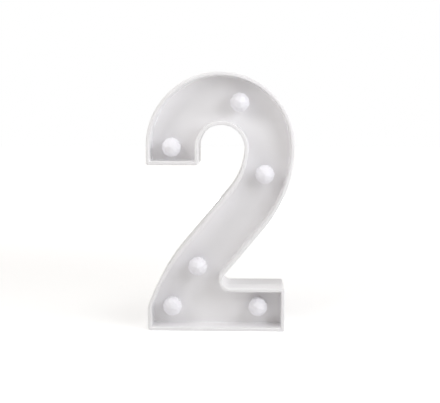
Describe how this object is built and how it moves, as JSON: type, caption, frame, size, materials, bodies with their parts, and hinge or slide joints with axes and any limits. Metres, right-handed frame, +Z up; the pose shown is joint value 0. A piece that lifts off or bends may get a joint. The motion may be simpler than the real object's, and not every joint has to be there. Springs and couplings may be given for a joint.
{
  "type": "light up marquee number",
  "caption": "Free-standing numeral two with a deep open tray, frosted faceted bulbs on its panel, and a back cover with battery bay, slide switch and keyhole.",
  "frame": {"origin": "centre of the base, on the surface that the numeral stands on", "axes": "+Z up, the open tray looks along -Y and the back with the battery door faces +Y, +X is to the right seen from the front"},
  "size_m": [0.1248, 0.045, 0.22],
  "materials": {
    "white_shell": "satin moulded",
    "frosted_bulb": "frosted",
    "led_lens": "clear epoxy",
    "cell_wrap": "shrink sleeve",
    "nickel_plate": "nickel plated",
    "spring_steel": "nickel plated wire",
    "switch_steel": "tinned",
    "switch_board": "phenolic",
    "knob_plastic": "moulded",
    "screw_steel": "zinc plated",
    "wire_red": "flexible sleeve",
    "wire_black": "flexible sleeve"
  },
  "bodies": {
    "root": {"front_shell": "white_shell", "back_cover": "white_shell", "battery_cell_1": "cell_wrap", "battery_cell_2": "cell_wrap", "negative_contact": "nickel_plate", "positive_contact": "nickel_plate", "bridge_contact": "nickel_plate", "negative_spring": "spring_steel", "bridge_spring": "spring_steel", "switch_can": "switch_steel", "switch_base": "switch_board", "switch_pins": "nickel_plate", "switch_screws": "screw_steel", "cover_screws": "screw_steel", "bulb_1": "frosted_bulb", "led_1": "led_lens", "bulb_2": "frosted_bulb", "led_2": "led_lens", "bulb_3": "frosted_bulb", "led_3": "led_lens", "bulb_4": "frosted_bulb", "led_4": "led_lens", "bulb_5": "frosted_bulb", "led_5": "led_lens", "bulb_6": "frosted_bulb", "led_6": "led_lens", "led_bus_positive": "wire_red", "battery_lead_positive": "wire_red", "switch_lead": "wire_red", "led_bus_negative": "wire_black", "battery_lead_negative": "wire_black"},
    "battery_door": {"battery_door": "white_shell"},
    "switch_knob": {"switch_knob": "knob_plastic"}
  },
  "joints": [
    {"name": "battery_door_hinge", "type": "hinge", "parent": "root", "child": "battery_door", "pos_m": [0.02745, 0.0225, 0.11103], "axis": [0.7683, 0, -0.6401], "range_deg": [0, 75]},
    {"name": "switch_slide", "type": "slide", "parent": "root", "child": "switch_knob", "axis": [1, 0, 0], "range_m": [0, 0.0035]}
  ]
}
